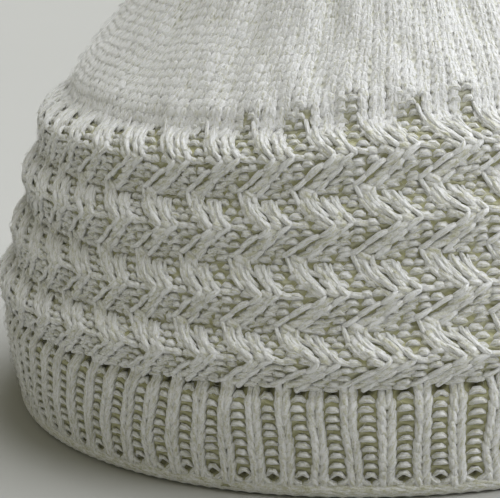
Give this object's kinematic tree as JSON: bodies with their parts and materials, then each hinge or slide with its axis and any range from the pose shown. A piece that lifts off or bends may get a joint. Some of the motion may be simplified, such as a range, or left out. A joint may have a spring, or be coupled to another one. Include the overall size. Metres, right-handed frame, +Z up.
{
  "type": "kufi cap",
  "caption": "Round knitted cotton kufi cap with a rolled rim, a ribbed band, a side of raised zigzag waves and a gathered dome crown.",
  "frame": {"origin": "under the middle of the cap, on the surface that its rim rests on", "axes": "+Z up through the crown, -Y towards the side that the picture shows"},
  "size_m": [0.1884, 0.1885, 0.1217],
  "materials": {
    "cotton_knit": "matt knitted cotton, off-white"
  },
  "bodies": {
    "root": {"rim_roll": "cotton_knit", "rib_band": "cotton_knit", "wave_side": "cotton_knit", "crown": "cotton_knit"}
  },
  "joints": []
}
